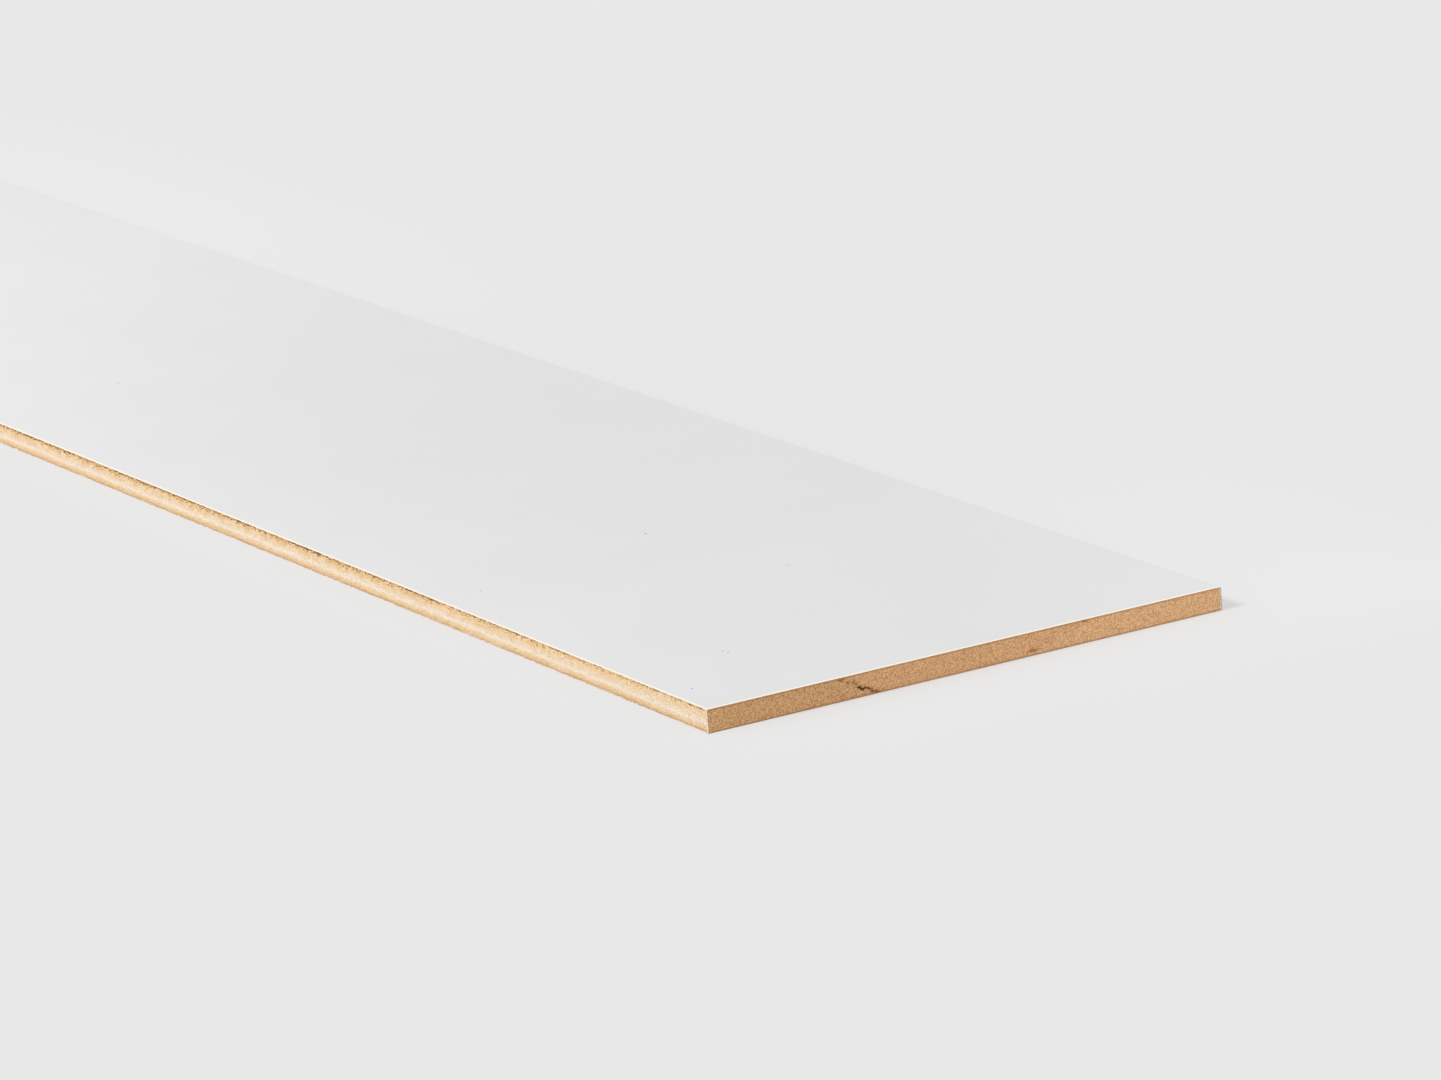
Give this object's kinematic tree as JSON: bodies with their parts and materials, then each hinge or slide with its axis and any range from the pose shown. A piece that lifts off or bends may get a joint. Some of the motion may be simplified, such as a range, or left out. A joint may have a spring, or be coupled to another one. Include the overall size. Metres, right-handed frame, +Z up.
{
  "type": "stair riser board",
  "caption": "Thin flat fibreboard riser with a white face, raw sawn edges and a plain back, glued upright between two stair treads to cover the old riser.",
  "frame": {"origin": "middle of the back, on the floor the board lies on", "axes": "+X along the board's length, +Y across its width, +Z up out of the white face"},
  "size_m": [1.3, 0.2, 0.008],
  "materials": {
    "white_faced_fibreboard": "matte white lacquered face; the sawn edges and ends are bare tan fibreboard"
  },
  "bodies": {
    "root": {"riser_board": "white_faced_fibreboard"}
  },
  "joints": []
}
